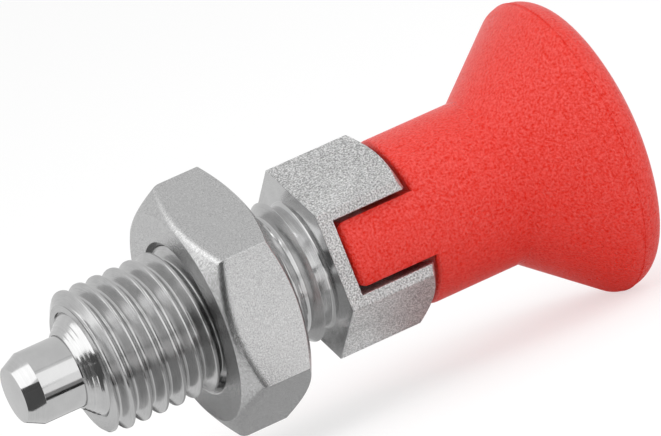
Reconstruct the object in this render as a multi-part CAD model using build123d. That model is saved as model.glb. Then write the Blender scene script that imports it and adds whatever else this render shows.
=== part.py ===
"""Indexing plunger with a slotted hexagon collar, a locknut and a mushroom grip.

The plunger's axis is X: the pin points to -X and the grip to +X. The origin is on the axis, in the
plane of the collar's front face, and the slot in the collar runs along Y. Lengths are millimetres.
"""

import os
from math import asin, cos, pi, radians, sin, sqrt, tan

from build123d import *

# --- threaded shank, M12 x 1.5, outside diameter modelled plain
THREAD_D = 12.0
THREAD_PITCH = 1.5
THREAD_DEPTH = 0.6134 * THREAD_PITCH
SHANK_LEN = 20.0
SHANK_CHAMFER = 0.4
RELIEF_W = 1.45
RELIEF_R = THREAD_D / 2 - THREAD_DEPTH
RELIEF_ROOT = 0.25

# --- hexagon collar with the cross slot
COLLAR_AF = 14.0
COLLAR_LEN = 8.0
COLLAR_CHAMFER = 30.0
COLLAR_LAND = 0.05
SLOT_W = 6.3
SLOT_FLOOR_X = 1.25

# --- pin, its running fits and what holds it
PIN_D = 6.0
PIN_OUT = 6.0
PIN_TIP_D = 4.6
PIN_TAPER_LEN = 1.4
PIN_HEAD_D = 7.9
PIN_HEAD_LEN = 1.6
TAIL_D = 4.0
RUNNING = 0.03
CHAMBER_D = 8.4
WEB_X = SLOT_FLOOR_X - 2.25
BARB_W = 0.8
BARB_DEPTH = 0.25
BARB_PITCH = 2.0
BARB_X = [COLLAR_LEN + 5.0 + i * BARB_PITCH for i in range(4)]
TAIL_END_X = BARB_X[-1] + BARB_PITCH

# --- pressed guide bush
BUSH_D = 8.7
BUSH_LEN = 4.0
BUSH_PROUD = 1.2
BUSH_LIP_D = 6.5
BUSH_EDGE = 0.12

# --- compression spring with closed and ground ends
WIRE_D = 0.7
SPRING_D = 7.7
COILS = 6.75
CLOSED_COILS = 0.8
RAMP_COILS = 0.4
CLOSED_PITCH = 1.05 * WIRE_D
ARCS_PER_COIL = 4
RISE_STEP = 0.005

# --- locknut
NUT_AF = 18.7
NUT_LEN = 6.3
NUT_REAR_X = -4.4
NUT_FACE_D = 17.6
NUT_CHAMFER = 30.0
NUT_CLEARANCE = 0.05
NUT_MOUTH = 0.4
NUT_TURN = 6.9

# --- moulded grip
GRIP_NECK_D = 14.0
GRIP_NECK_EDGE = 0.15
GRIP_GAP = 0.4
NECK_LEN = 8.4
FLARE = 0.80
KNOB_D = 24.9
KNOB_FRONT_R = 1.04
KNOB_REAR_R = 2.3
RIM_W = 1.89
DOME_R = 26.2
LUG_W = 5.4
LUG_GAP = 0.25
LUG_FRONT_R = 0.7

# --- how far cutting shapes run past the piece and joined pieces run into each other
BEYOND = 1.0


def turned(points):
    """A solid turned about X from an (x, radius) outline that is closed along the axis."""
    return revolve(make_face(Polyline(*points, close=True)), Axis.X)


def hexagon(across_flats, x0, length, turn):
    """A hexagonal bar along X with a corner turned from +Z towards -Y."""
    outline = RegularPolygon(across_flats / 2, 6, major_radius=False, rotation=30 + turn)
    return extrude(Plane.YZ.offset(x0) * outline, length)


def plunger_body():
    """Collar, relief and threaded shank in one piece, bored from the front and slotted from the rear."""
    major, tip = THREAD_D / 2, THREAD_D / 2 - SHANK_CHAMFER
    shank = turned(
        [
            (-SHANK_LEN, 0),
            (-SHANK_LEN, tip),
            (-SHANK_LEN + SHANK_CHAMFER, major),
            (-RELIEF_W, major),
            (-RELIEF_W, RELIEF_R + RELIEF_ROOT),
            (-RELIEF_W + RELIEF_ROOT, RELIEF_R),
            (-RELIEF_ROOT, RELIEF_R),
            (0, RELIEF_R + RELIEF_ROOT),
            (BEYOND, RELIEF_R + RELIEF_ROOT),
            (BEYOND, 0),
        ]
    )
    corner = COLLAR_AF / sqrt(3)
    face_r = COLLAR_AF / 2 - COLLAR_LAND
    drop = (corner - face_r) * tan(radians(COLLAR_CHAMFER))
    envelope = turned(
        [
            (0, 0),
            (0, corner + BEYOND),
            (COLLAR_LEN - drop, corner),
            (COLLAR_LEN, face_r),
            (COLLAR_LEN, 0),
        ]
    )
    body = shank + (hexagon(COLLAR_AF, 0, COLLAR_LEN, 0) & envelope)
    slot_len = COLLAR_LEN - SLOT_FLOOR_X + BEYOND
    body -= Pos(SLOT_FLOOR_X + slot_len / 2, 0, 0) * Box(slot_len, 3 * corner, SLOT_W)
    bush_floor = -SHANK_LEN + BUSH_LEN
    bores = turned(
        [
            (-SHANK_LEN - BEYOND, 0),
            (-SHANK_LEN - BEYOND, BUSH_D / 2 + BUSH_EDGE + BEYOND),
            (-SHANK_LEN + BUSH_EDGE, BUSH_D / 2),
            (bush_floor, BUSH_D / 2),
            (bush_floor, CHAMBER_D / 2),
            (WEB_X, CHAMBER_D / 2),
            (WEB_X, TAIL_D / 2 + RUNNING),
            (SLOT_FLOOR_X + BEYOND, TAIL_D / 2 + RUNNING),
            (SLOT_FLOOR_X + BEYOND, 0),
        ]
    )
    return body - bores


def guide_bush():
    """Hardened bush pressed into the shank's mouth, with a conical front around the pin."""
    front, bore = -SHANK_LEN - BUSH_PROUD, PIN_D / 2 + RUNNING
    return turned(
        [
            (front, bore),
            (front, BUSH_LIP_D / 2),
            (-SHANK_LEN - BUSH_EDGE, BUSH_D / 2 - BUSH_EDGE),
            (-SHANK_LEN, BUSH_D / 2),
            (-SHANK_LEN + BUSH_LEN, BUSH_D / 2),
            (-SHANK_LEN + BUSH_LEN, bore),
        ]
    )


def index_pin():
    """Ground pin with a tapered tip, a head that stops on the bush and a barbed tail held in the grip."""
    tip = -SHANK_LEN - PIN_OUT
    head = -SHANK_LEN + BUSH_LEN
    outline = [
        (tip, 0),
        (tip, PIN_TIP_D / 2),
        (tip + PIN_TAPER_LEN, PIN_D / 2),
        (head, PIN_D / 2),
        (head, PIN_HEAD_D / 2),
        (head + PIN_HEAD_LEN, PIN_HEAD_D / 2),
        (head + PIN_HEAD_LEN, TAIL_D / 2),
    ]
    for x in BARB_X:
        outline += [
            (x, TAIL_D / 2),
            (x, TAIL_D / 2 - BARB_DEPTH),
            (x + BARB_W, TAIL_D / 2),
        ]
    outline += [(TAIL_END_X, TAIL_D / 2), (TAIL_END_X, 0)]
    return turned(outline)


def spring_rise(turns, active_pitch):
    """Axial distance of the wire's centre from the spring's front end after some turns."""
    rise = 0.0
    for i in range(round(turns / RISE_STEP)):
        t = (i + 0.5) * RISE_STEP
        share = min(t - CLOSED_COILS, COILS - CLOSED_COILS - t) / RAMP_COILS
        share = min(max(share, 0.0), 1.0)
        rise += RISE_STEP * (CLOSED_PITCH + share * (active_pitch - CLOSED_PITCH))
    return rise


def pin_spring():
    """Round wire wound between the pin's head and the web, its end coils closed and ground flat."""
    x0 = -SHANK_LEN + BUSH_LEN + PIN_HEAD_LEN
    length = WEB_X - x0
    closed = spring_rise(COILS, CLOSED_PITCH)
    per_pitch = spring_rise(COILS, CLOSED_PITCH + 1) - closed
    active = CLOSED_PITCH + (length - closed) / per_pitch
    mean_r = (SPRING_D - WIRE_D) / 2
    halves = 2 * round(COILS * ARCS_PER_COIL)
    points = []
    for i in range(halves + 1):
        turns = COILS * i / halves
        angle = 2 * pi * turns
        points.append((x0 + spring_rise(turns, active), mean_r * sin(angle), mean_r * cos(angle)))
    arcs = [ThreePointArc(*points[i : i + 3]) for i in range(0, halves, 2)]
    start = Plane(origin=arcs[0] @ 0, z_dir=arcs[0] % 0)
    wire = sweep(start * Circle(WIRE_D / 2), path=Wire(arcs))
    ground = Pos(x0 + length / 2, 0, 0) * Rot(0, 90, 0) * Cylinder(SPRING_D, length)
    return wire & ground


def locknut():
    """Thin hexagon nut, chamfered on both faces, with countersunk mouths."""
    front = NUT_REAR_X - NUT_LEN
    corner = NUT_AF / sqrt(3)
    drop = (corner - NUT_FACE_D / 2) * tan(radians(NUT_CHAMFER))
    bore = THREAD_D / 2 + NUT_CLEARANCE
    envelope = turned(
        [
            (front, bore + NUT_MOUTH),
            (front, NUT_FACE_D / 2),
            (front + drop, corner),
            (NUT_REAR_X - drop, corner),
            (NUT_REAR_X, NUT_FACE_D / 2),
            (NUT_REAR_X, bore + NUT_MOUTH),
            (NUT_REAR_X - NUT_MOUTH, bore),
            (front + NUT_MOUTH, bore),
        ]
    )
    return hexagon(NUT_AF, front, NUT_LEN, NUT_TURN) & envelope


def grip_profile():
    """Neck, flare, rounded rim and domed end as one outline."""
    front, neck, rim = COLLAR_LEN + GRIP_GAP, GRIP_NECK_D / 2, KNOB_D / 2
    neck_end = front + NECK_LEN
    flare_end = neck_end + (rim - neck) / FLARE
    rim_rear = flare_end + RIM_W
    dome_x = rim_rear - sqrt(DOME_R**2 - rim**2)
    half = asin(rim / DOME_R) / 2
    middle = (dome_x + DOME_R * cos(half), DOME_R * sin(half))
    end = dome_x + DOME_R
    side = Polyline(
        (front, 0),
        (front, neck - GRIP_NECK_EDGE),
        (front + GRIP_NECK_EDGE, neck),
        (neck_end, neck),
        (flare_end, rim),
        (rim_rear, rim),
    )
    dome = ThreePointArc((rim_rear, rim), middle, (end, 0))
    face = make_face([side, dome, Line((end, 0), (front, 0))])
    face = fillet(nearest(face.vertices(), flare_end, rim), KNOB_FRONT_R)
    return fillet(nearest(face.vertices(), rim_rear, rim), KNOB_REAR_R)


def nearest(corners, x, y):
    """The corner that lies closest to a point of the outline."""
    return min(corners, key=lambda v: (v.X - x) ** 2 + (v.Y - y) ** 2)


def lugs():
    """The blade across the neck's front whose two ends fill the collar's slot."""
    front = SLOT_FLOOR_X + LUG_GAP
    length = COLLAR_LEN + GRIP_GAP + BEYOND - front
    bar = Pos(front + length / 2, 0, 0) * Rot(0, 90, 0) * Cylinder(GRIP_NECK_D / 2, length)
    bar &= Pos(front + length / 2, 0, 0) * Box(length, GRIP_NECK_D + BEYOND, LUG_W)
    return fillet(bar.faces().sort_by(Axis.X)[0].edges(), LUG_FRONT_R)


def grip(pin):
    """One moulding: knob, neck and lugs, moulded around the pin's barbed tail."""
    return revolve(grip_profile(), Axis.X) + lugs() - pin


def save(name, shape):
    """Write one piece to its own STEP file."""
    solids = shape.solids()
    assert len(solids) == 1 and solids[0].is_valid, name
    export_step(solids[0], os.path.join("parts", name + ".step"))
    print(name, round(solids[0].volume, 1), "mm3")


os.makedirs("parts", exist_ok=True)
pin = index_pin()
save("plunger_body", plunger_body())
save("guide_bush", guide_bush())
save("index_pin", pin)
save("pin_spring", pin_spring())
save("locknut", locknut())
save("grip", grip(pin))
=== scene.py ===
# %% [markdown]
# # An indexing plunger and its finishes
#
# The part is a spring-loaded locating pin. A threaded steel shank screws into a plate, a hexagon collar
# takes the spanner, a thin nut locks the thread, and a red moulded grip pulls the pin back. Two lugs on
# the grip sit in a slot across the collar. This lesson builds the visible skin of each piece as a surface
# worked out with numpy, gives each one a material that starts from the real metal or plastic, and lights
# it like a small product in a light tent.
#
# Lengths in the code are millimetres and become metres when a mesh is made. The axis of the plunger is X:
# the collar starts at 0, the pin points towards -x and the grip towards +x. Where a solid of the fixed
# model starts or ends, the place is read from that model.

# %% Load the fixed frame
from math import asin, atan, cos, degrees, pi, radians, sin, sqrt, tan

import bpy
import numpy as np
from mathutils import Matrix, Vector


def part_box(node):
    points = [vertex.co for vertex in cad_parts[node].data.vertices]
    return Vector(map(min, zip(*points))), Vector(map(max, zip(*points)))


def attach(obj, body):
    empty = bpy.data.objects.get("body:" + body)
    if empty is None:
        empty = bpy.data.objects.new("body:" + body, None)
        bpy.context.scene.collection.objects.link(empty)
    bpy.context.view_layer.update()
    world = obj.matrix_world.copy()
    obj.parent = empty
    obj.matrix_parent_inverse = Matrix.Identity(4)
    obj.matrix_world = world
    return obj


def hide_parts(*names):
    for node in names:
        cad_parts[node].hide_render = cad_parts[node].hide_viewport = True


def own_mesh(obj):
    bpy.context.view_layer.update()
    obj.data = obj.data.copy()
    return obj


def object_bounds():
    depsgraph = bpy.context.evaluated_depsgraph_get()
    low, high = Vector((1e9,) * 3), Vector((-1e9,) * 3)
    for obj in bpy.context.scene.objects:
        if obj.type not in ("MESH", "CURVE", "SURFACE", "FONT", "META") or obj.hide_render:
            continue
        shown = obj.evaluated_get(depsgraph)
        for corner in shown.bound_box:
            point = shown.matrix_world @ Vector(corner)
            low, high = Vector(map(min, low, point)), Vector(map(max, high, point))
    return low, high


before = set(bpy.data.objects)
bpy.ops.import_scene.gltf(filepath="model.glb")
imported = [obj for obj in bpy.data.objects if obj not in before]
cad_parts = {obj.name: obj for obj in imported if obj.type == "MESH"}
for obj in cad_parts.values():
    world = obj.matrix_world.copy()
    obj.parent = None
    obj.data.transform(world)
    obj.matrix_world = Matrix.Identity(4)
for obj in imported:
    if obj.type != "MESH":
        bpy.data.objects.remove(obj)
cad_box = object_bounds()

MM = 0.001


def span(solid):
    """Where a solid starts and ends along the axis: the x values of its box, in millimetres."""
    low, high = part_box(solid)
    return round(low[0] / MM, 3), round(high[0] / MM, 3)


print("CAD box, mm:", [[round(v / MM, 2) for v in corner] for corner in cad_box])
print("solids along the axis, mm:", {solid: span(solid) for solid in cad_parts})

# %% [markdown]
# ## One way to make every mesh
#
# Each skin is a grid of points: rows run along the outline of the piece and columns run round its axis.
# The points come as a whole numpy array, so the mesh is written in one go. Where rows shrink to a point
# or two patches share an edge, the doubles are merged, which closes poles and seams. Normals are then
# made to point outwards, because the shell is closed by that time.

# %% Grids into meshes
import bmesh

SAME_POINT = 0.0004


def skin(name, patches, sharp=30.0):
    """A closed mesh from patches of points in millimetres.

    A patch is (points, wrap, keep): points has the shape rows x columns x 3, wrap joins the last column to
    the first, and keep is None or a mask of the quads that stay. Quad (i, j) has the corners (i, j),
    (i, j+1), (i+1, j+1) and (i+1, j). Points nearer than SAME_POINT millimetres become one, and edges that
    turn by more than sharp degrees are shaded as edges.
    """
    corners, quads, first = [], [], 0
    for points, wrap, keep in patches:
        rows, columns = points.shape[:2]
        index = first + np.arange(rows * columns).reshape(rows, columns)
        if wrap:
            index = np.hstack([index, index[:, :1]])
        cells = np.stack([index[:-1, :-1], index[:-1, 1:], index[1:, 1:], index[1:, :-1]], axis=-1)
        quads.append(cells.reshape(-1, 4) if keep is None else cells[keep])
        corners.append(points.reshape(-1, 3))
        first += rows * columns
    corners, quads = np.vstack(corners) * MM, np.vstack(quads)
    mesh = bpy.data.meshes.new(name)
    mesh.vertices.add(len(corners))
    mesh.vertices.foreach_set("co", corners.astype(np.float32).ravel())
    mesh.loops.add(quads.size)
    mesh.loops.foreach_set("vertex_index", quads.astype(np.int32).ravel())
    mesh.polygons.add(len(quads))
    mesh.polygons.foreach_set("loop_start", np.arange(0, quads.size, 4, dtype=np.int32))
    mesh.update(calc_edges=True)
    shell = bmesh.new()
    shell.from_mesh(mesh)
    bmesh.ops.remove_doubles(shell, verts=shell.verts, dist=SAME_POINT * MM)
    bmesh.ops.recalc_face_normals(shell, faces=shell.faces)
    open_edges = sum(1 for edge in shell.edges if not edge.is_manifold)
    shell.to_mesh(mesh)
    shell.free()
    mesh.shade_smooth()
    mesh.set_sharp_from_angle(angle=radians(sharp))
    piece = bpy.data.objects.new(name, mesh)
    bpy.context.scene.collection.objects.link(piece)
    print(name, len(mesh.polygons), "faces,", open_edges, "edges without two faces")
    return piece


# %% Edges that were deburred or tumbled
BEVELLED_FROM = 24.0


def softened(piece, width):
    """Round the edges that turn by more than BEVELLED_FROM degrees, over width millimetres on each side."""
    bevel = piece.modifiers.new("deburred edges", "BEVEL")
    bevel.width = width * MM
    bevel.segments = 2
    bevel.limit_method = "ANGLE"
    bevel.angle_limit = radians(BEVELLED_FROM)
    bevel.use_clamp_overlap = False
    bevel.harden_normals = True
    return piece


print("edges that turn by more than", BEVELLED_FROM, "degrees can be rounded")

# %% Turned shapes
TURNED_COLUMNS = 192


def around(x, radius, angles):
    """Points (x, r cos a, r sin a), where x and radius have a value for each point or broadcast to it."""
    x, radius, angles = np.broadcast_arrays(x, radius, angles)
    return np.stack([x, radius * np.cos(angles), radius * np.sin(angles)], axis=-1)


def filleted(outline, steps=4):
    """Round the corners of an (x, r, fillet radius) outline.

    At a corner the tangent points lie fillet * tan(turn / 2) away from it. The arc's centre lies on the line
    that halves the corner, and the points between them turn evenly about that centre.
    """
    outline = np.array(outline, float)
    points = [outline[:1, :2]]
    for before, corner, after in zip(outline[:-2], outline[1:-1], outline[2:]):
        a, b = before[:2] - corner[:2], after[:2] - corner[:2]
        a, b = a / np.hypot(*a), b / np.hypot(*b)
        turn = pi - np.arccos(np.clip(a @ b, -1, 1))
        if corner[2] == 0 or turn < 1e-6:
            points.append(corner[None, :2])
            continue
        reach = corner[2] * tan(turn / 2)
        centre = corner[:2] + (a + b) / np.hypot(*(a + b)) * corner[2] / cos(turn / 2)
        t = np.linspace(0, 1, steps + 1)[:, None]
        first, last = corner[:2] + reach * a - centre, corner[:2] + reach * b - centre
        points.append(centre + (np.sin((1 - t) * turn) * first + np.sin(t * turn) * last) / sin(turn))
    points.append(outline[-1:, :2])
    return np.vstack(points)


def turned(name, outline):
    """A lathe shape: the filleted (x, r) outline carried round the X axis."""
    profile = filleted(outline)
    angles = np.linspace(0, 2 * pi, TURNED_COLUMNS, endpoint=False)
    return skin(name, [(around(profile[:, :1], profile[:, 1:], angles[None, :]), True, None)])


print("a turned piece has", TURNED_COLUMNS, "columns")

# %% [markdown]
# ## Threaded shank
#
# On the real object this is stainless steel with an M12 x 1.5 thread, cut up to a relief under the
# collar. A screw modifier could wind a tooth, but its seam and both ends would need mending. Here the
# grid itself is helical: every row follows one phase of the thread, so crest and root edges run exactly
# along grid lines and stay crisp. Rows that would pass the chamfered end or the run-out groove are held
# there, which closes them.

# %% Thread profile
# The front chamfer starts at CHAMFER_R, the run-out groove is flat between the values of GROOVE_X, and the
# crest line of the first column, carried on under the collar, would lie at x = CREST_X.
PITCH, MAJOR_R, THREAD_DEPTH = 1.5, 6.0, 0.92
SHANK_END, COLLAR_END = span("plunger_body")
CHAMFER_R = 5.6
GROOVE_X = (-2.55, -2.22)
CREST_X = 1.40
TOOTH = np.array([0.0, 0.065, 0.088, 0.112, 0.14, 0.25, 0.38, 0.5, 0.58, 0.625, 0.67, 0.75])
TOOTH_DEPTH = [0.0, 0.0, 0.006, 0.036, 0.08, 0.27, 0.495, 0.703, 0.838, 0.895, 0.917, THREAD_DEPTH]


def thread_radius(from_crest, x):
    """Radius of the 60 degree tooth at a distance from its crest line, cut off at both ends.

    TOOTH_DEPTH gives the depth at each distance in TOOTH, with a rounded crest edge and root. At the front a
    45 degree chamfer cuts the tooth off: the radius is at most CHAMFER_R plus the distance from the end. At
    the rear the run-out groove does: its wall rises forwards from the groove's flat bottom at 60 degrees, so
    the radius is at most the root's plus tan 60 times the distance from that bottom.
    """
    folded = np.abs((from_crest + PITCH / 2) % PITCH - PITCH / 2)
    tooth = MAJOR_R - np.interp(folded, TOOTH, TOOTH_DEPTH)
    groove = MAJOR_R - THREAD_DEPTH + np.clip(GROOVE_X[0] - x, 0, None) * tan(radians(60))
    return np.minimum(np.minimum(tooth, groove), CHAMFER_R + (x - SHANK_END))


print("crest flat, mm:", 2 * TOOTH[1], "- root at radius", round(MAJOR_R - THREAD_DEPTH, 2))

# %% Thread surface
# A row keeps its distance from the crest line, which advances by one pitch in a turn.
phases = np.concatenate([TOOTH, PITCH - TOOTH[-2:0:-1]])
turns = np.arange(-16, 2)
rows = (turns[:, None] * PITCH + phases[None, :]).ravel()
shank_angles = np.linspace(0, 2 * pi, 241)[None, :]
crest_line = CREST_X + PITCH * shank_angles / (2 * pi)
along = np.clip(rows[:, None] + crest_line, SHANK_END, GROOVE_X[1])
thread = around(along, thread_radius(along - crest_line, along), shank_angles)
print("thread grid:", thread.shape[:2], "rows and columns")

# %% Relief and inside of the shank
# The outline goes on from the groove over the relief, ends a little inside the collar, and comes back
# through the bore of the tail, the spring chamber and the seat of the bush to the mouth.
RELIEF_START, RELIEF_R, RELIEF_FILLET, SUNK = -1.45, 5.08, 0.35, 0.4
TAIL_BORE_R, CHAMBER_R, SEAT_R, MOUTH = 2.03, 4.2, 4.35, 0.15
web_x, seat_x = span("pin_spring")[1], span("guide_bush")[1]
relief = [
    (GROOVE_X[1], MAJOR_R - THREAD_DEPTH, 0),
    (RELIEF_START, MAJOR_R, 0.03),
    (RELIEF_START, RELIEF_R, 0.3),
    (0.0, RELIEF_R, RELIEF_FILLET),
    (0.0, RELIEF_R + RELIEF_FILLET, 0),
    (SUNK, RELIEF_R + RELIEF_FILLET, 0),
]
bore = [
    (SUNK, TAIL_BORE_R, 0),
    (web_x, TAIL_BORE_R, 0),
    (web_x, CHAMBER_R, 0),
    (seat_x, CHAMBER_R, 0),
    (seat_x, SEAT_R, 0),
    (SHANK_END + MOUTH, SEAT_R, 0),
    (SHANK_END, SEAT_R + MOUTH, 0),
]
inside = filleted(relief + bore, steps=5)
inside = around(inside[:, :1], inside[:, 1:], shank_angles)
inside = np.concatenate([inside, thread[:1]])
shank = skin("threaded_shank", [(thread, False, None), (inside, False, None)])
print("crests along the shank:", round((RELIEF_START - SHANK_END) / PITCH, 1))

# %% [markdown]
# ## Hexagon collar with its cross slot
#
# The collar is the same bar of steel, milled to a 14 mm hexagon, chamfered at 30 degrees, slotted right
# across and then blasted, so it looks pale and grainy. A boolean cut would do, but it leaves long thin
# triangles that shade badly. Instead the outline of the hexagon is a function of the angle, and the rows
# step from the front face to the slot floor, up the two prongs, over their chamfers and down the slot
# walls. Quads that would bridge the slot are left out.

# %% Hexagon outline
COLLAR_FLATS, SLOT_HALF, SLOT_FLOOR, RIM_R = 14.0, 3.15, 1.25, 6.92
CHAMFER_RISE = tan(radians(30))


def hexagon_radius(angles, across_flats, turn=0.0):
    """Distance from the axis to a hexagon: half the flats over the cosine of the angle from a flat."""
    from_flat = (angles - turn + pi / 6) % (pi / 3) - pi / 6
    return across_flats / 2 / np.cos(from_flat)


# The slot's wall cuts the upright flat where the angle's tangent is the wall's height over half the flats.
slot_edge = atan(SLOT_HALF / (COLLAR_FLATS / 2))
stretches = [(0, slot_edge, 9), (slot_edge, pi / 6, 4), (pi / 6, pi / 2, 21)]
quarter = np.unique(np.concatenate([np.linspace(*stretch) for stretch in stretches]).round(9))
half = np.concatenate([quarter, pi - quarter[-2::-1]])
collar_angles = np.concatenate([half, pi + half[1:-1]])
outer = hexagon_radius(collar_angles, COLLAR_FLATS)
outer_y, outer_z = outer * np.cos(collar_angles), outer * np.sin(collar_angles)
bore_y, bore_z = TAIL_BORE_R * np.cos(collar_angles), TAIL_BORE_R * np.sin(collar_angles)
print("collar columns:", len(collar_angles), "- slot edge at", round(degrees(slot_edge), 1), "degrees")

# %% Prongs and chamfer
# On a prong the chamfer's rim is a circle that starts at the slot's wall too, so the columns between the
# wall and the first corner of the hexagon are moved along to begin there.
upper_or_lower = np.sign(np.sin(collar_angles))
prong = outer * np.abs(np.sin(collar_angles)) >= SLOT_HALF - 1e-6
wall_z = upper_or_lower * SLOT_HALF
chamfer_drop = (outer - RIM_R) * CHAMFER_RISE
edge_drop = (hexagon_radius(slot_edge, COLLAR_FLATS) - RIM_R) * CHAMFER_RISE
rim_edge = asin(SLOT_HALF / RIM_R)
folded = np.arcsin(np.abs(np.sin(collar_angles)))
toward_corner = (folded - slot_edge) / (pi / 6 - slot_edge)
rim_folded = np.where(folded < pi / 6, rim_edge + toward_corner * (pi / 6 - rim_edge), folded)
rim_y = RIM_R * np.cos(rim_folded) * np.sign(np.cos(collar_angles) + 1e-12)
rim_z = RIM_R * np.sin(rim_folded) * upper_or_lower
print("columns on the prongs:", int(prong.sum()))
print("deepest chamfer, mm:", round(float(chamfer_drop.max()), 2))

# %% Collar
PRONG_ROWS = slice(2, 7)


def level(x, y, z):
    """One row of points (x, y, z) round the collar, with values for the whole row or for each column."""
    return np.stack(np.broadcast_arrays(x, y, z), axis=-1)


collar_rows = [
    level(0.0, bore_y, bore_z),
    level(0.0, outer_y, outer_z),
    level(SLOT_FLOOR, outer_y, outer_z),
    level(COLLAR_END - chamfer_drop, outer_y, outer_z),
    level(COLLAR_END, rim_y, rim_z),
    level(COLLAR_END, rim_y, wall_z),
    level(COLLAR_END - edge_drop, outer_y, wall_z),
    level(SLOT_FLOOR, outer_y, np.where(prong, wall_z, outer_z)),
    level(SLOT_FLOOR, bore_y, bore_z),
    level(0.0, bore_y, bore_z),
]
same_prong = prong & np.roll(prong, -1) & (upper_or_lower * np.roll(upper_or_lower, -1) > 0)
collar_quads = np.ones((len(collar_rows) - 1, len(collar_angles)), bool)
collar_quads[PRONG_ROWS] = same_prong
collar = softened(skin("hexagon_collar", [(np.stack(collar_rows), True, collar_quads)]), width=0.07)

# %% [markdown]
# ## Guide bush
#
# A hardened bush is pressed into the mouth of the shank and guides the pin. Its nose is a cone turned in
# a few narrow lands, and each land catches the light at a slightly different angle. A lathe outline with
# a step for each land gives those rings as real shape, where a texture alone would leave the nose smooth
# in outline.

# %% Bush
BUSH_BORE_R = 3.03
bush_front, bush_rear = span("guide_bush")
NOSE = [(0.0, 3.18, 0.03), (0.15, 3.36, 0.03), (0.27, 3.42, 0.03), (0.48, 3.66, 0.03), (0.58, 3.70, 0.03),
        (0.78, 3.95, 0.03), (0.86, 3.98, 0.03), (1.08, 4.20, 0.04), (1.3, 4.34, 0.02), (1.4, SEAT_R, 0.02)]
bush_outline = [
    (bush_front, BUSH_BORE_R, 0),
    *[(bush_front + behind_tip, radius, fillet) for behind_tip, radius, fillet in NOSE],
    (bush_rear, SEAT_R, 0),
    (bush_rear, BUSH_BORE_R, 0),
    (bush_front, BUSH_BORE_R, 0),
]
bush = turned("guide_bush_skin", bush_outline)
print("bush from", bush_front, "to", bush_rear, "mm")

# %% [markdown]
# ## Index pin
#
# The pin is hardened and ground, with a flat tip, a short taper and a head that stops behind the bush.
# Its tail has shallow barbs that the grip is moulded around. It is pure lathe work, so the outline is
# carried round the axis, with a tiny radius where grinding leaves one.

# %% Pin
PIN_R, TIP_R, TAPER, HEAD_R, TAIL_R = 3.0, 2.3, 1.4, 3.95, 2.0
BARBS, BARB_DEPTH, BARB_LENGTH = (13.0, 15.0, 17.0, 19.0), 0.25, 0.8
tip_x, tail_x = span("index_pin")
head_front, head_rear = bush_rear, span("pin_spring")[0]
pin_outline = [
    (tip_x, 0, 0),
    (tip_x, TIP_R, 0.05),
    (tip_x + TAPER, PIN_R, 0.06),
    (head_front, PIN_R, 0),
    (head_front, HEAD_R, 0.1),
    (head_rear, HEAD_R, 0.1),
    (head_rear, TAIL_R, 0),
]
for start in BARBS:
    pin_outline += [(start, TAIL_R, 0), (start, TAIL_R - BARB_DEPTH, 0), (start + BARB_LENGTH, TAIL_R, 0)]
pin_outline += [(tail_x, TAIL_R, 0), (tail_x, 0, 0)]
pin = turned("index_pin_skin", pin_outline)
print("pin from", tip_x, "to", tail_x, "mm, with", len(BARBS), "barbs")

# %% [markdown]
# ## Compression spring
#
# The spring sits out of sight between the pin's head and the web under the collar. Its end coils are
# closed and ground flat. A curve with a bevel would give the wire, but not the ground ends, so a circle
# is carried along the helix and its points are held between the two end planes.

# %% Spring
COILS, CLOSED_COILS, RAMP, WIRE_R, COIL_R = 6.75, 0.8, 0.4, 0.35, 3.5
CLOSED_PITCH = 1.05 * 2 * WIRE_R
SPRING_X = span("pin_spring")
# The pitch is CLOSED_PITCH in the end coils, grows over RAMP coils and is even between, so that the wire's
# middle has risen by the spring's whole length after the last coil.
coil = np.linspace(0, COILS, 325)
openness = np.clip(np.minimum(coil - CLOSED_COILS, COILS - CLOSED_COILS - coil) / RAMP, 0, 1)
opened = (coil[1] - coil[0]) * (np.cumsum(openness) - openness / 2 - openness[0] / 2)
open_rise = (SPRING_X[1] - SPRING_X[0] - CLOSED_PITCH * COILS) / opened[-1]
coil_x = SPRING_X[0] + CLOSED_PITCH * coil + open_rise * opened
around_wire = np.linspace(0, 2 * pi, 16, endpoint=False)[None, :]
coil_angle = 2 * pi * coil[:, None]
wire_r = COIL_R + WIRE_R * np.cos(around_wire)
wire_x = np.clip(coil_x[:, None] + WIRE_R * np.sin(around_wire), *SPRING_X)
wire = np.stack([wire_x, wire_r * np.sin(coil_angle), wire_r * np.cos(coil_angle)], axis=-1)
ends = np.broadcast_to(wire[[0, -1]].mean(axis=1, keepdims=True), (2, *wire.shape[1:]))
spring = skin("pin_spring_skin", [(np.concatenate([ends[:1], wire, ends[1:]]), True, None)])
print("spring pitch, mm:", round(CLOSED_PITCH, 2), "closed and", round(CLOSED_PITCH + open_rise, 2), "open")

# %% [markdown]
# ## Locknut
#
# A thin hexagon nut, 19 mm nominal, chamfered on both faces so that the corners fade into curved edges.
# The chamfer is a cone, so where it meets a flat the edge is a hyperbola. Carrying the outline row by row
# round the hexagon, with the chamfer's start worked out from the radius at each angle, puts a grid line
# exactly on that curve. Tumbling has rolled the front edge over, so a few rows are bent round it: the
# corner plus a share of (1 - t) squared towards the face and t squared along the flat. The other edges
# get a small bevel.

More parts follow.
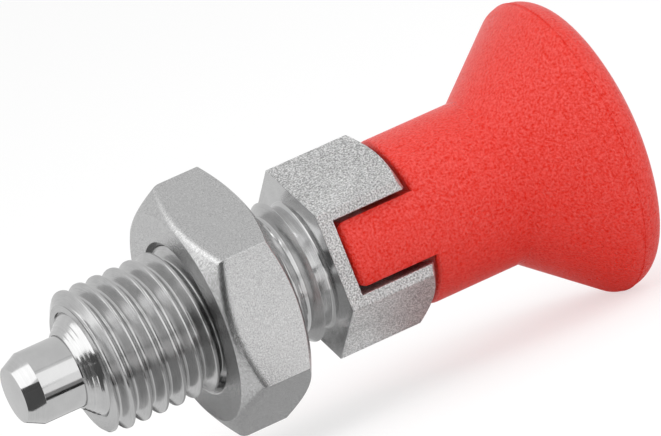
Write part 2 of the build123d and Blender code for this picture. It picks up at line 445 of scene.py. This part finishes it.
# %% Nut
NUT_FLATS, FACE_R, NUT_TURN, NUT_BORE_R = 18.7, 8.8, radians(6.9), 6.05
COUNTERSINK, ROLL = 0.4, 0.55
nut_front, nut_rear = span("locknut")
nut_angles = np.linspace(0, 2 * pi, 180, endpoint=False) + NUT_TURN + pi / 6
flats = hexagon_radius(nut_angles, NUT_FLATS, NUT_TURN)
nut_chamfer = (flats - FACE_R) * CHAMFER_RISE
nut_rows = [
    (nut_front + COUNTERSINK, NUT_BORE_R),
    (nut_front, NUT_BORE_R + COUNTERSINK),
    (nut_front, FACE_R),
]
for t in np.linspace(0, 1, 8):
    toward_face, toward_middle = ROLL * (1 - t) ** 2, ROLL * t**2
    nut_rows.append((nut_front + nut_chamfer - toward_face * sin(radians(30)) + toward_middle,
                     flats - toward_face * cos(radians(30))))
nut_rows += [
    (nut_rear - nut_chamfer, flats),
    (nut_rear, FACE_R),
    (nut_rear, NUT_BORE_R + COUNTERSINK),
    (nut_rear - COUNTERSINK, NUT_BORE_R),
    nut_rows[0],
]
nut_grid = np.stack([around(x, radius, nut_angles) for x, radius in nut_rows])
nut = softened(skin("locknut_skin", [(nut_grid, True, None)], sharp=24), width=0.06)
print("nut across flats:", NUT_FLATS, "mm, thickness", round(nut_rear - nut_front, 2))

# %% [markdown]
# ## Moulded grip
#
# One moulding in red glass-filled nylon: a domed knob, a conical flare, a straight neck and a blade
# across its front whose two ends are the lugs. All of it is one grid. The rows follow the knob's outline
# down to the neck's shoulder, there they fold in to the blade's section, which is the neck's circle
# clipped between two planes, and run forward along the blade to its rounded front. Near its front the
# knob's rim has a low bead, where the two halves of the mould met.

# %% Knob and neck
NECK_R, NECK_FRONT, NECK_END, SHOULDER_R, NECK_ROUND = 7.0, 8.4, 16.8, 0.5, 0.04
KNOB_R, FLARE_SLOPE, RIM_WIDTH, DOME_R, REAR_ROUND, FRONT_ROUND = 12.45, 0.8, 1.89, 26.2, 2.3, 1.04
SEAM_BEHIND_FLARE, SEAM_H = 0.42, 0.06
BEAD = [(0.09, 0.0), (0.07, SEAM_H), (0.02, SEAM_H), (0.0, 0.0)]
flare_end = NECK_END + (KNOB_R - NECK_R) / FLARE_SLOPE
rim_rear = flare_end + RIM_WIDTH
seam_x = flare_end + SEAM_BEHIND_FLARE
dome_x = rim_rear - sqrt(DOME_R**2 - KNOB_R**2)
# The dome is an arc about (dome_x, 0). Its last five steps are left to the rounding of the rim. The bead is a
# list of how far a point lies behind seam_x and how high it stands.
bow = np.linspace(0.0, asin(KNOB_R / DOME_R), 40)[:-5, None]
dome = np.hstack([dome_x + DOME_R * np.cos(bow), DOME_R * np.sin(bow), 0 * bow])
rim_and_neck = [
    (rim_rear, KNOB_R - SEAM_H, REAR_ROUND),
    *[(seam_x + behind, KNOB_R - SEAM_H + raised, 0) for behind, raised in BEAD],
    (flare_end, KNOB_R - SEAM_H, FRONT_ROUND),
    (NECK_END, NECK_R, NECK_ROUND),
    (NECK_FRONT + SHOULDER_R, NECK_R, 0),
]
knob = filleted(np.vstack([dome, rim_and_neck]), steps=14)
print("knob outline:", len(knob), "rows, end of the dome at x =", round(float(knob[0, 0]), 2))

# %% Blade with the two lugs
LUG_HALF, LUG_ROUND = 2.7, 0.7
lug_x = span("grip")[0]
lug_edge = asin(LUG_HALF / NECK_R)
arc = np.concatenate([np.linspace(0, lug_edge, 12)[:-1], np.linspace(lug_edge, pi / 2, 40)])
arc = np.concatenate([arc, pi - arc[-2::-1]])
grip_angles = np.concatenate([arc, pi + arc[1:-1]])
rounding = np.linspace(0, pi / 2, 8)


def blade_row(x, half, radius):
    """The blade's section at x: the circle of that radius, clipped to half above and below the axis.

    The angles are stretched so that the columns on the clipped corner stay on it while the section shrinks.
    """
    corner = asin(half / radius)
    folded = np.arcsin(np.abs(np.sin(grip_angles)))
    below = folded / lug_edge * corner
    above = corner + (folded - lug_edge) / (pi / 2 - lug_edge) * (pi / 2 - corner)
    angle = np.where(folded <= lug_edge + 1e-9, below, above)
    left_or_right = np.where(np.abs(np.cos(grip_angles)) < 1e-9, 0, np.sign(np.cos(grip_angles)))
    y = radius * np.cos(angle) * left_or_right
    z = np.minimum(radius * np.sin(angle), half) * np.sign(np.sin(grip_angles).round(9))
    return np.stack([x + 0 * y, y, z], axis=-1)[None]


blade = [blade_row(NECK_FRONT, LUG_HALF, NECK_R)]
for t in rounding:
    trimmed = LUG_ROUND * (1 - cos(t))
    blade.append(blade_row(lug_x + LUG_ROUND * (1 - sin(t)), LUG_HALF - trimmed, NECK_R - trimmed))
print("lug edge at", round(degrees(lug_edge), 1), "degrees,", len(blade), "rows along the blade")

# %% Grip
# The neck's shoulder is rounded beside the lugs and runs straight into them, over a blend of 0.3 mm.
SHOULDER_BLEND = 0.3
beside_lug = np.abs(NECK_R * np.sin(grip_angles)) - LUG_HALF
rounded_share = np.clip(beside_lug / SHOULDER_BLEND, 0, 1)[None, :]
shoulder_x = NECK_FRONT + SHOULDER_R * (1 - np.sin(rounding[1:, None]))
shoulder_r = NECK_R - SHOULDER_R * (1 - np.cos(rounding[1:, None])) * rounded_share
shoulder = around(shoulder_x, shoulder_r, grip_angles[None, :])
hole_x, hole_r = np.array([[lug_x], [tail_x], [tail_x]]), np.array([[TAIL_R], [TAIL_R], [0.0]])
tail_hole = around(hole_x, hole_r, grip_angles[None, :])
grip_rows = [around(knob[:, :1], knob[:, 1:], grip_angles[None, :]), shoulder, *blade, tail_hole]
grip = skin("moulded_grip", [(np.concatenate(grip_rows), True, None)], sharp=32)

# %% [markdown]
# ## Colours and a helper for nodes
#
# Colours are written as the eye would name them on a screen, in sRGB hex, and turned into linear light
# here. One small function adds a shader node with its settings and its links and gives back its output,
# so that each material reads as a list of what it is made of. Noise keeps near its middle, so a Map Range
# node stretches the part between two values over the range that a colour or a roughness needs.

# %% Node helper
def colour(code):
    """Linear RGBA from an sRGB hex code: c / 12.92 near black, ((c + 0.055) / 1.055) ** 2.4 above it."""
    part = np.array([int(code[i : i + 2], 16) for i in (1, 3, 5)]) / 255
    linear = np.where(part <= 0.04045, part / 12.92, ((part + 0.055) / 1.055) ** 2.4)
    return (*linear.tolist(), 1.0)


def node(tree, kind, inputs=(), output=0, **settings):
    """Add a node, set its properties, fill its inputs and give back one of its outputs.

    The inputs are a sequence in the order of the node's sockets, or a dict by name or number. Each is a
    value or the output of another node, which is linked.
    """
    made = tree.nodes.new(kind)
    for name, value in settings.items():
        setattr(made, name, value)
    for key, value in inputs.items() if isinstance(inputs, dict) else enumerate(inputs):
        if isinstance(value, bpy.types.NodeSocket):
            tree.links.new(value, made.inputs[key])
        else:
            made.inputs[key].default_value = value
    return made.outputs[output] if made.outputs else None


def start_material(name):
    """An empty material and its node tree."""
    made = bpy.data.materials.new(name)
    made.use_nodes = True
    made.node_tree.nodes.clear()
    return made, made.node_tree


def finish_material(made, surface):
    """Link the finished surface to the output."""
    node(made.node_tree, "ShaderNodeOutputMaterial", {"Surface": surface})
    print(made.name, "has", len(made.node_tree.nodes), "nodes")
    return made


print("red in linear light:", [round(c, 3) for c in colour("#e6211d")])

# %% [markdown]
# ## Blasted stainless steel
#
# The collar is stainless steel blasted with fine glass beads. Beads leave shallow dimples about 0.15 mm
# across that tilt the surface a little every way, so the metal turns from a mirror into a pale, grainy
# grey that glitters softly. Bump from a fine noise does that, and the same noise shifts the roughness
# and, with a broad one, the tone. The dimples are drawn deeper than real ones, so that they show at this
# size.

# %% Blasted steel
DIMPLE, DIMPLE_DEPTH, CLOUD = 0.14, 0.13, 2.5
blasted, tree = start_material("bead_blasted_stainless")
place = node(tree, "ShaderNodeTexCoord", output="Object")
dimples = node(tree, "ShaderNodeTexNoise", {"Vector": place, "Scale": 1 / (DIMPLE * MM), "Detail": 3.0})
clouds = node(tree, "ShaderNodeTexNoise", {"Vector": place, "Scale": 1 / (CLOUD * MM), "Detail": 2.0})
dimple_tone = node(tree, "ShaderNodeMapRange", (dimples, 0.36, 0.64, 0.0, 0.85))
cloud_tone = node(tree, "ShaderNodeMapRange", (clouds, 0.3, 0.7, 0.0, 0.15))
tone = node(tree, "ShaderNodeMath", (dimple_tone, cloud_tone), operation="ADD")
finish_material(blasted, node(tree, "ShaderNodeBsdfPrincipled", {
    "Base Color": node(tree, "ShaderNodeMix", {0: tone, 6: colour("#929292"), 7: colour("#fafafa")}, 2,
                       data_type="RGBA"),
    "Metallic": 1.0,
    "Roughness": node(tree, "ShaderNodeMapRange", (dimples, 0.3, 0.7, 0.36, 0.5)),
    "Normal": node(tree, "ShaderNodeBump",
                   {"Height": dimples, "Strength": 1.0, "Distance": DIMPLE_DEPTH * MM}),
}))

# %% [markdown]
# ## Cut, turned, ground and drawn steel
#
# Cutting tools leave fine parallel marks. On a turned face they run in rings and on the thread they run
# along it, so they change quickly along the axis or outwards and hardly at all around. Marks 0.04 to 0.07
# mm apart stand in for the finer real ones, which would vanish at this size. They spread the highlights
# across the marks and make the bright fans seen on lathe-turned ends. The relief and the collar's front
# face are turned, so they stay brighter than the thread. The bush is turned and hardened. The pin is
# ground, which leaves hardly any marks and almost a mirror. Spring wire is drawn through a die, which
# burnishes it and leaves faint lines along it. It is hidden, so those lines are coarse, at 0.2 mm.

# %% Turned steel
PATCH = 1.2


def turned_steel(name, dark, light, roughness, mark, depth):
    """Steel with ring marks: noise read at (x, distance from the axis) with blots of mark millimetres.

    The marks are depth millimetres deep. They make six tenths of the tone, and patches PATCH millimetres
    across make the rest and shift the roughness.
    """
    steel, tree = start_material(name)
    smoothest, dullest = roughness - 0.03, roughness + 0.04
    place = node(tree, "ShaderNodeTexCoord", output="Object")
    lengthways = node(tree, "ShaderNodeSeparateXYZ", (place,), "X")
    across = node(tree, "ShaderNodeVectorMath", (place, (0, 1, 1)), operation="MULTIPLY")
    outwards = node(tree, "ShaderNodeVectorMath", (across,), "Value", operation="LENGTH")
    rings = node(tree, "ShaderNodeCombineXYZ", (lengthways, outwards))
    marks = node(tree, "ShaderNodeTexNoise", {"Vector": rings, "Scale": 1 / (mark * MM), "Detail": 3.0})
    patches = node(tree, "ShaderNodeTexNoise", {"Vector": place, "Scale": 1 / (PATCH * MM), "Detail": 2.0})
    mark_tone = node(tree, "ShaderNodeMapRange", (marks, 0.3, 0.7, 0.0, 0.6))
    patch_tone = node(tree, "ShaderNodeMapRange", (patches, 0.3, 0.7, 0.0, 0.4))
    tone = node(tree, "ShaderNodeMath", (mark_tone, patch_tone), operation="ADD")
    return finish_material(steel, node(tree, "ShaderNodeBsdfPrincipled", {
        "Base Color": node(tree, "ShaderNodeMix", {0: tone, 6: colour(dark), 7: colour(light)}, 2,
                           data_type="RGBA"),
        "Metallic": 1.0,
        "Roughness": node(tree, "ShaderNodeMapRange", (patches, 0.3, 0.7, smoothest, dullest)),
        "Normal": node(tree, "ShaderNodeBump", {"Height": marks, "Strength": 1.0, "Distance": depth * MM}),
    }))


thread_steel = turned_steel("thread_cut_stainless", "#bababa", "#d0d0d0", 0.2, mark=0.07, depth=0.003)
face_steel = turned_steel("face_turned_stainless", "#c0c0c0", "#d4d4d4", 0.15, mark=0.06, depth=0.003)
bush_steel = turned_steel("turned_hardened_steel", "#c2c2c2", "#d8d8d8", 0.14, mark=0.05, depth=0.006)
pin_steel = turned_steel("ground_hardened_steel", "#c6c6c6", "#d6d6d6", 0.1, mark=0.04, depth=0.0006)
wire_steel = turned_steel("drawn_spring_wire", "#a6a6a6", "#c0c0c0", 0.22, mark=0.2, depth=0.002)

# %% [markdown]
# ## Tumbled stainless steel
#
# The nut was milled or drawn to its hexagon and then tumbled. Tumbling dulls the flats to a soft satin
# and leaves short fine scratches in every direction. Two stretched noises at an angle to each other draw
# the scratches, 0.06 mm wide because finer ones wouldn't show, and a broader noise keeps the satin from
# looking painted.

# %% Nut steel
SCRATCH, SCRATCH_DEPTH, SATIN = 0.06, 0.015, 3.0
tumbled, tree = start_material("tumbled_stainless")
place = node(tree, "ShaderNodeTexCoord", output="Object")
ways = []
for turn, stretch in (((0.5, 0.3, 0.6), (1, 1, 0.08)), ((-0.7, 0.9, 0.1), (0.08, 1, 1))):
    slanted = node(tree, "ShaderNodeMapping", {"Vector": place, "Rotation": turn})
    drawn_out = node(tree, "ShaderNodeMapping", {"Vector": slanted, "Scale": stretch})
    lines = {"Vector": drawn_out, "Scale": 1 / (SCRATCH * MM), "Detail": 2.0}
    ways.append(node(tree, "ShaderNodeTexNoise", lines))
scratches = node(tree, "ShaderNodeMath", ways, operation="ADD")
satin = node(tree, "ShaderNodeTexNoise", {"Vector": place, "Scale": 1 / (SATIN * MM), "Detail": 2.0})
tone = node(tree, "ShaderNodeMapRange", (scratches, 0.7, 1.3, 0.0, 1.0))
finish_material(tumbled, node(tree, "ShaderNodeBsdfPrincipled", {
    "Base Color": node(tree, "ShaderNodeMix", {0: tone, 6: colour("#acacac"), 7: colour("#dcdcdc")}, 2,
                       data_type="RGBA"),
    "Metallic": 1.0,
    "Roughness": node(tree, "ShaderNodeMapRange", (satin, 0.3, 0.7, 0.19, 0.24)),
    "Normal": node(tree, "ShaderNodeBump",
                   {"Height": scratches, "Strength": 1.0, "Distance": SCRATCH_DEPTH * MM}),
}))

# %% [markdown]
# ## Red glass-filled nylon
#
# The grip is moulded in a tool whose cavity was spark-eroded, so its surface is an even pebble grain
# about 0.2 mm across with a finer one over it. The red pigment goes right through. Nylon has an index of
# about 1.53, and the grain spreads its shine into a pale haze where the light is broad. The grain also
# paints light and shade into the surface. The red is painted deeper in the hollows as painted shade and
# paler on the pebble tops as a painted sheen, and the specular level is turned down in the hollows as
# painted shade of their shine.

# %% Grip plastic
PEBBLE, FINE_GRAIN, PEBBLE_DEPTH, PIGMENT = 0.2, 0.07, 0.14, 3.0
red, tree = start_material("spark_textured_red_nylon")
place = node(tree, "ShaderNodeTexCoord", output="Object")
pebbles = node(tree, "ShaderNodeTexNoise", {"Vector": place, "Scale": 1 / (PEBBLE * MM), "Detail": 2.0})
fine = node(tree, "ShaderNodeTexNoise", {"Vector": place, "Scale": 1 / (FINE_GRAIN * MM), "Detail": 2.0})
pigment = node(tree, "ShaderNodeTexNoise", {"Vector": place, "Scale": 1 / (PIGMENT * MM), "Detail": 2.0})
faint = node(tree, "ShaderNodeMath", (fine, 0.35), operation="MULTIPLY")
grain = node(tree, "ShaderNodeMath", (pebbles, faint), operation="ADD")
# The grain paints shade and sheen: a deeper red and less shine in the hollows are painted shade, and a paler
# red on the pebble tops is a painted sheen.
tone = node(tree, "ShaderNodeMapRange", (grain, 0.45, 0.9, 0.0, 1.0))
finish_material(red, node(tree, "ShaderNodeBsdfPrincipled", {
    "Base Color": node(tree, "ShaderNodeMix", {0: tone, 6: colour("#ec2412"), 7: colour("#ff301c")}, 2,
                       data_type="RGBA"),
    "Roughness": node(tree, "ShaderNodeMapRange", (pigment, 0.3, 0.7, 0.27, 0.34)),
    "IOR": 1.53,
    # Painted shade: the specular level drops in the hollows of the grain.
    "Specular IOR Level": node(tree, "ShaderNodeMapRange", (grain, 0.45, 0.9, 0.1, 1.2)),
    "Normal": node(tree, "ShaderNodeBump",
                   {"Height": grain, "Strength": 1.0, "Distance": PEBBLE_DEPTH * MM}),
}))

# %% [markdown]
# ## Fit the pieces to the frame
#
# Each skin takes its material, stands for its CAD solid and rides on that solid's body. Shank and collar
# are one solid with two finishes, so both stand for it. The faces that were turned last, which are the
# relief and the collar's front face, take the bright turned steel as a second material. The spring gets a
# mesh of its own.

# %% Ride and replace
dressing = [
    (shank, "plunger_body", "housing", "body_steel", thread_steel),
    (collar, "plunger_body", "housing", "body_steel", blasted),
    (bush, "guide_bush", "housing", "bush_steel", bush_steel),
    (pin, "index_pin", "plunger", "pin_steel", pin_steel),
    (spring, "pin_spring", "spring", "spring_wire", wire_steel),
    (nut, "locknut", "nut", "nut_steel", tumbled),
    (grip, "grip", "plunger", "grip_plastic", red),
]
for piece, solid, body, slot, material in dressing:
    piece.data.materials.append(material)
    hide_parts(solid)
    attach(piece, body)
for name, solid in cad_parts.items():
    match = [material for _, node_name, _, _, material in dressing if node_name == name]
    solid.data.materials.clear()
    solid.data.materials.append(match[0])
print("dressed:", [piece.name for piece, *_ in dressing])

# %% Bright turned faces and the spring
# A face is bright when its middle lies between the two x values and nearer to the axis than the radius.
BRIGHT = [(shank, RELIEF_START, 0.1, 5.9), (collar, -0.1, 0.02, 20.0)]
for piece, first, last, radius in BRIGHT:
    middles = np.empty(3 * len(piece.data.polygons), np.float32)
    piece.data.polygons.foreach_get("center", middles)
    middles = middles.reshape(-1, 3) / MM
    near_axis = np.hypot(middles[:, 1], middles[:, 2]) < radius
    bright = (middles[:, 0] > first) & (middles[:, 0] < last) & near_axis
    piece.data.materials.append(face_steel)
    piece.data.polygons.foreach_set("material_index", bright.astype(np.int32))
    print(piece.name, "has", int(bright.sum()), "bright faces")
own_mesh(spring)

# %% [markdown]
# ## Softboxes
#
# Small bright parts are shown inside a light tent, so the world gives an even pale light and three
# softboxes add direction: a weak one to the right of the camera, a broad one high on the pin's side, and
# the brightest one high on the grip's side. Each is an area lamp, whose size sets how wide its reflection
# in the metal is.

# %% Light tent and softboxes
from mathutils import Vector


def softbox(name, toward, distance, width, height, radiance):
    """An area lamp facing the object; its power is pi x area x radiance, so radiance 1 looks white."""
    toward = Vector(toward).normalized()
    lamp = bpy.data.lights.new(name, "AREA")
    lamp.shape = "RECTANGLE"
    lamp.size, lamp.size_y = width, height
    lamp.energy = pi * width * height * radiance
    made = bpy.data.objects.new(name, lamp)
    made.location = toward * distance
    made.rotation_euler = toward.to_track_quat("Z", "Y").to_euler()
    made.visible_camera = False
    bpy.context.scene.collection.objects.link(made)
    print(name, "gives", round(lamp.energy, 3), "W")


softbox("front_softbox", (0.33, -0.94, 0.25), 0.62, 0.36, 0.55, 0.52)
softbox("left_softbox", (-0.765, -0.163, 0.623), 0.5, 0.76, 0.46, 0.8)
softbox("right_top_softbox", (0.66, -0.30, 0.69), 0.6, 0.36, 0.36, 1.2)

TENT_RADIANCE = 0.76
world = bpy.data.worlds.new("light_tent")
world.use_nodes = True
world.node_tree.nodes["Background"].inputs["Color"].default_value = (1, 1, 1, 1)
world.node_tree.nodes["Background"].inputs["Strength"].default_value = TENT_RADIANCE
bpy.context.scene.world = world

# %% [markdown]
# ## Cards for the reflections
#
# Polished steel shows whatever stands around it, so its looks are made by the set as much as by the
# metal. Cards that only mirror-like rays can see stand round the object and lie on the table. Dark ones
# give the ground pin, the bush and the thread their crisp dark bands, and grey ones keep the lower sides
# of collar and nut from mirroring a white table. The narrow grey one above stands for a seam in the tent.
# They throw no light and no shadow on the table. A glowing card has the brightness it names, and a paper
# one reflects that share of the light that falls on it.

# %% Cards
BENEATH, OVER_LINES, OVER_ALL = 0.04, 0.05, 0.06


def card(name, corners, brightness, glow=True):
    """A flat card through the corners, in metres, that only mirror-like rays can see."""
    mesh = bpy.data.meshes.new(name)
    mesh.from_pydata(corners, [], [tuple(range(len(corners)))])
    made = bpy.data.objects.new(name, mesh)
    bpy.context.scene.collection.objects.link(made)
    paint, tree = start_material(name + "_paint")
    kind = "ShaderNodeEmission" if glow else "ShaderNodeBsdfDiffuse"
    mesh.materials.append(finish_material(paint, node(tree, kind, {"Color": (*[brightness] * 3, 1)})))
    made.visible_camera = made.visible_diffuse = made.visible_shadow = made.visible_transmission = False


def standing_card(name, toward, distance, width, height, brightness):
    """A card that faces the object: half its width and half its height from the point at that distance."""
    toward = Vector(toward).normalized()
    right = toward.cross(Vector((0, 0, 1))).normalized() * width / 2
    up = right.cross(toward).normalized() * height / 2
    middle = toward * distance
    lower, upper = middle - up, middle + up
    card(name, [lower - right, lower + right, upper + right, upper - right], brightness)


def lying_card(name, corners, brightness, lift, glow=False):
    """A card on the table: its corners are (x, y) in millimetres, and it lies lift millimetres above it."""
    z = cad_box[0][2] + lift * MM
    card(name, [(x * MM, y * MM, z) for x, y in corners], brightness, glow)


def strip(start, end, near=-12.8, far=300):
    """The corners of a strip of table from start to end along X and from near to far along Y."""
    return [(start, near), (end, near), (end, far), (start, far)]


standing_card("seam_above", (0.327, -0.604, 0.725), 0.4, 0.6, 0.012, 0.55)
standing_card("dark_card_upright", (-0.84, -0.545, 0.10), 0.3, 0.36, 0.09, 0.09)
standing_card("dark_card_camera", (-0.33, -0.94, 0.10), 0.31, 0.16, 0.09, 0.12)
lying_card("grey_card_pin", strip(-300, -15.5), 0.76, BENEATH, glow=True)
lying_card("grey_card_nut", strip(-15.5, 0), 0.45, BENEATH, glow=True)
lying_card("grey_card_relief", strip(0, 6), 0.8, BENEATH, glow=True)
lying_card("grey_card_collar", strip(6, 300), 0.7, BENEATH)
LEFT = [(-31, -3), (-31, -11), (-33, -22), (-24, -28), (-17, -40), (-20, -60), (0, -100), (0, -260),
        (-260, -260), (-260, -12)]
THREADS = [(-14.6, -12.8), (-4, -12.8), (-6, -24), (-24, -28), (-25, -17.4), (-14.6, -17.4)]
RIGHT = [(20, -50), (110, -50), (110, -140), (35, -140)]
lying_card("dark_card_left", LEFT, 0.09, OVER_ALL)
lying_card("dark_card_behind", strip(-32, -12, 18, 50), 0.1, OVER_ALL)
lying_card("grey_card_threads", THREADS, 0.3, OVER_ALL)
lying_card("grey_card_right", RIGHT, 0.25, OVER_ALL)
lying_card("dark_line_pin", strip(-25, -14.6, -17.4, -12.8), 0.03, OVER_LINES)
lying_card("dark_line_relief", strip(2.5, 9, -17, -13.5), 0.1, OVER_LINES)

# %% [markdown]
# ## Table
#
# The table is a sheet of pale paper that keeps the object's soft shadow. It is lifted to white by a glow
# that camera, mirror-like and transmitted rays see in full. About half of that glow is there for every
# ray, so the table also lights the lower sides of the object.

# %% Table
TABLE_R, GLOW_FOR_ALL, GLOW_WHEN_SEEN = 4.0, 0.32, 0.28
floor_z = cad_box[0][2]
floor_mesh = bpy.data.meshes.new("table")
table_angles = np.linspace(0, 2 * pi, 64, endpoint=False)
table_x, table_y = TABLE_R * np.cos(table_angles), TABLE_R * np.sin(table_angles)
table_rim = np.stack([table_x, table_y, floor_z + 0 * table_angles], axis=-1)
floor_mesh.from_pydata(table_rim.tolist(), [], [tuple(range(64))])
table = bpy.data.objects.new("table", floor_mesh)
bpy.context.scene.collection.objects.link(table)
paper, tree = start_material("white_background_paper")
ray = node(tree, "ShaderNodeLightPath").node.outputs
seen = node(tree, "ShaderNodeMath", (ray["Is Camera Ray"], ray["Is Glossy Ray"]), operation="ADD")
seen = node(tree, "ShaderNodeMath", (seen, ray["Is Transmission Ray"]), operation="ADD", use_clamp=True)
glow = node(tree, "ShaderNodeMath", (seen, GLOW_WHEN_SEEN, GLOW_FOR_ALL), operation="MULTIPLY_ADD")
floor_mesh.materials.append(finish_material(paper, node(tree, "ShaderNodeBsdfPrincipled", {
    "Base Color": colour("#b0b0b0"),
    "Roughness": 1.0,
    "Specular IOR Level": 0.0,
    "Emission Color": (1, 1, 1, 1),
    "Emission Strength": glow,
})))
print("table at", round(floor_z / MM, 2), "mm")

# %% [markdown]
# ## Camera
#
# A long lens keeps the perspective weak. The camera stands on the pin's side, looks down by seven degrees
# and is rolled, so that the plunger lies along the frame's diagonal.

# %% Camera
CAMERA_AT = (-0.193832, -0.564948, 0.076086)
CAMERA_TURN = (82.4587, 21.61, -22.0521)
lens = bpy.data.cameras.new("camera")
lens.sensor_width, lens.lens = 36.0, 416.4
lens.clip_start, lens.clip_end = 0.02, 20.0
camera = bpy.data.objects.new("camera", lens)
camera.location = CAMERA_AT
camera.rotation_euler = [radians(turn) for turn in CAMERA_TURN]
bpy.context.scene.collection.objects.link(camera)
bpy.context.scene.camera = camera
bpy.context.scene.view_settings.view_transform = "Standard"
sight = camera.rotation_euler.to_matrix() @ Vector((0, 0, -1))
print("the camera looks down by", round(degrees(-asin(sight.z)), 1), "degrees")
